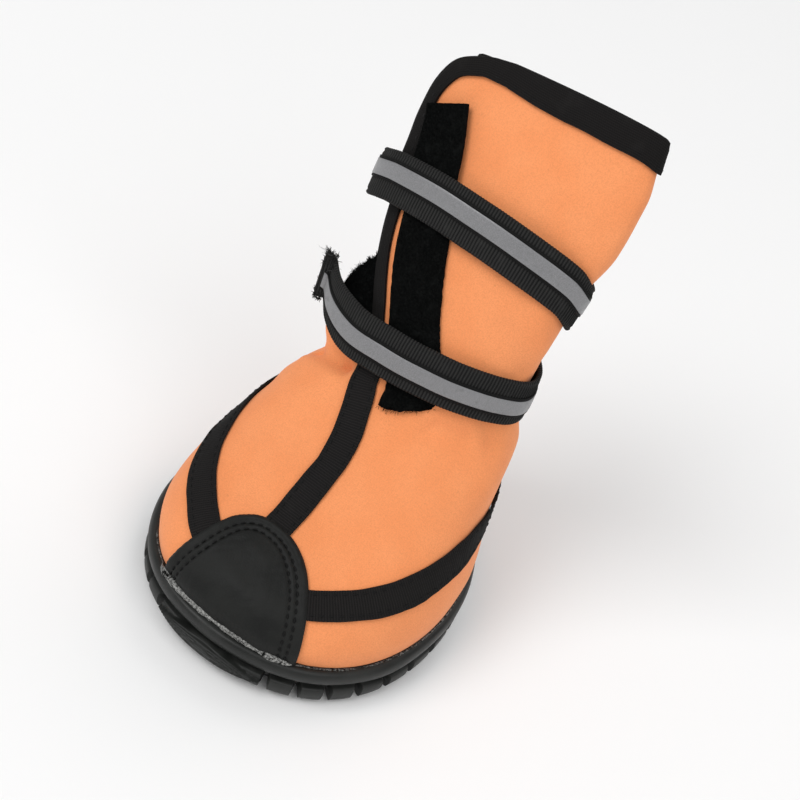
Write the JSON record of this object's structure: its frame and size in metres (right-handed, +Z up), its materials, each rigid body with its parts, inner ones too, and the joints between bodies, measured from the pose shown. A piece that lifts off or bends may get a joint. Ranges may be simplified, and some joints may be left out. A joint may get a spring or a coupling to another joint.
{
  "type": "dog boot",
  "caption": "Ankle-high dog boot with a cupped rubber sole, a softshell upper lapped in front, a rubber toe cap and hook and loop straps.",
  "frame": {"origin": "on the floor under the middle of the boot's outer box", "axes": "+Z up the shaft, -Y towards the toe, -X to the side on which the flap's free edge and the straps' free ends lie"},
  "size_m": [0.0758, 0.0945, 0.1298],
  "materials": {
    "rubber": "black moulded rubber, satin",
    "fabric": "orange softshell cloth, matt",
    "lining": "dark foam covered with knit",
    "coated": "black coated patch, fine grain",
    "binding": "black stretch binding",
    "tape": "black grosgrain ribbon",
    "pile": "black hook and loop tape",
    "webbing": "black ribbed webbing",
    "reflective": "grey reflective tape"
  },
  "bodies": {
    "root": {"outsole": "rubber", "insole": "lining", "upper": "fabric", "toe_cap": "coated", "front_seam_tape": "tape", "side_tape_right": "tape", "side_tape_left": "tape", "back_seam_tape": "tape", "collar_binding": "binding", "loop_strip": "pile", "strap_upper": "webbing", "strap_lower": "webbing", "reflective_stripe_upper": "reflective", "reflective_stripe_lower": "reflective", "hook_pad_upper": "pile", "hook_pad_lower": "pile"}
  },
  "joints": []
}
